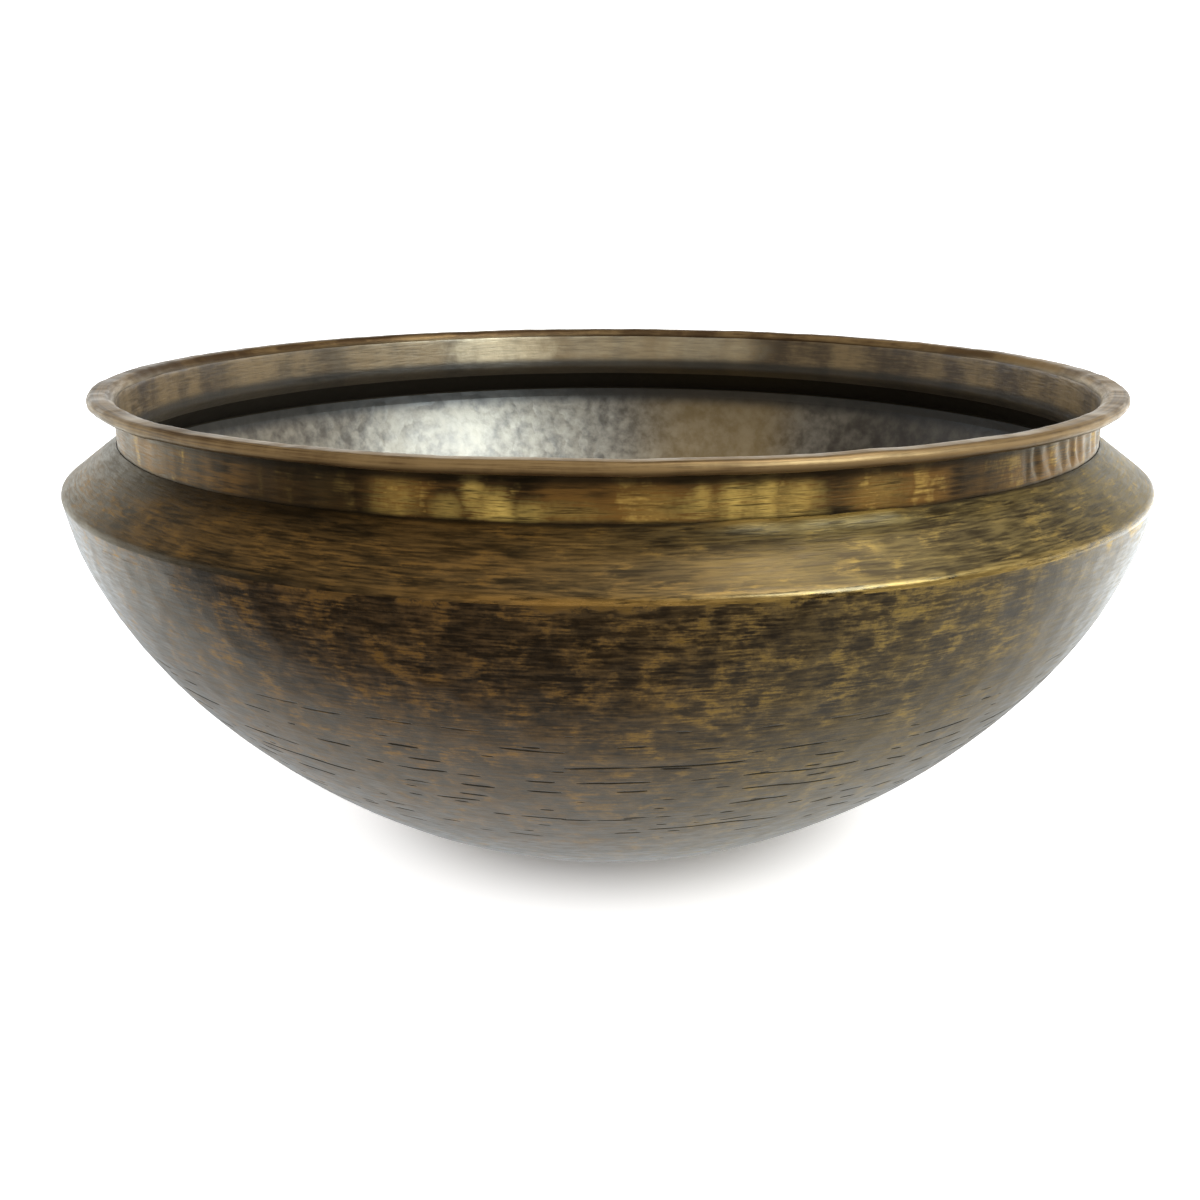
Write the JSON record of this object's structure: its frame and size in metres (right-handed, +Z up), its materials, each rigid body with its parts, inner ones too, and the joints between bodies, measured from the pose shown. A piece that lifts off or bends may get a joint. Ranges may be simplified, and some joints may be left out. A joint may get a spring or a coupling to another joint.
{
  "type": "brass urli bowl",
  "caption": "Wide hammered brass urli: round-bellied bowl with a sloping shoulder, short upright neck and rolled rim, for floating flowers or cooking.",
  "frame": {"origin": "centre of the flat the bowl rests on", "axes": "+Z up the bowl's axis, out through the mouth; -Y towards the front; +X to the right as seen from the front"},
  "size_m": [0.5099, 0.51, 0.2215],
  "materials": {
    "bowl_brass": "hammered, dark brown patina with worn golden facet edges, grey-brown low on the belly",
    "shoulder_brass": "hammered, mid-brown patina, golden along the waist ridge",
    "neck_brass": "hammered and scratch-brushed, golden brown, rim worn pale",
    "core_wire": "dull drawn wire",
    "braze_metal": "as-flowed brazing metal, darkened"
  },
  "bodies": {
    "root": {"lower_bowl": "bowl_brass", "shoulder": "shoulder_brass", "neck_collar": "neck_brass", "rim_wire": "core_wire", "waist_braze": "braze_metal", "neck_braze": "braze_metal", "collar_seam_braze": "braze_metal"}
  },
  "joints": []
}
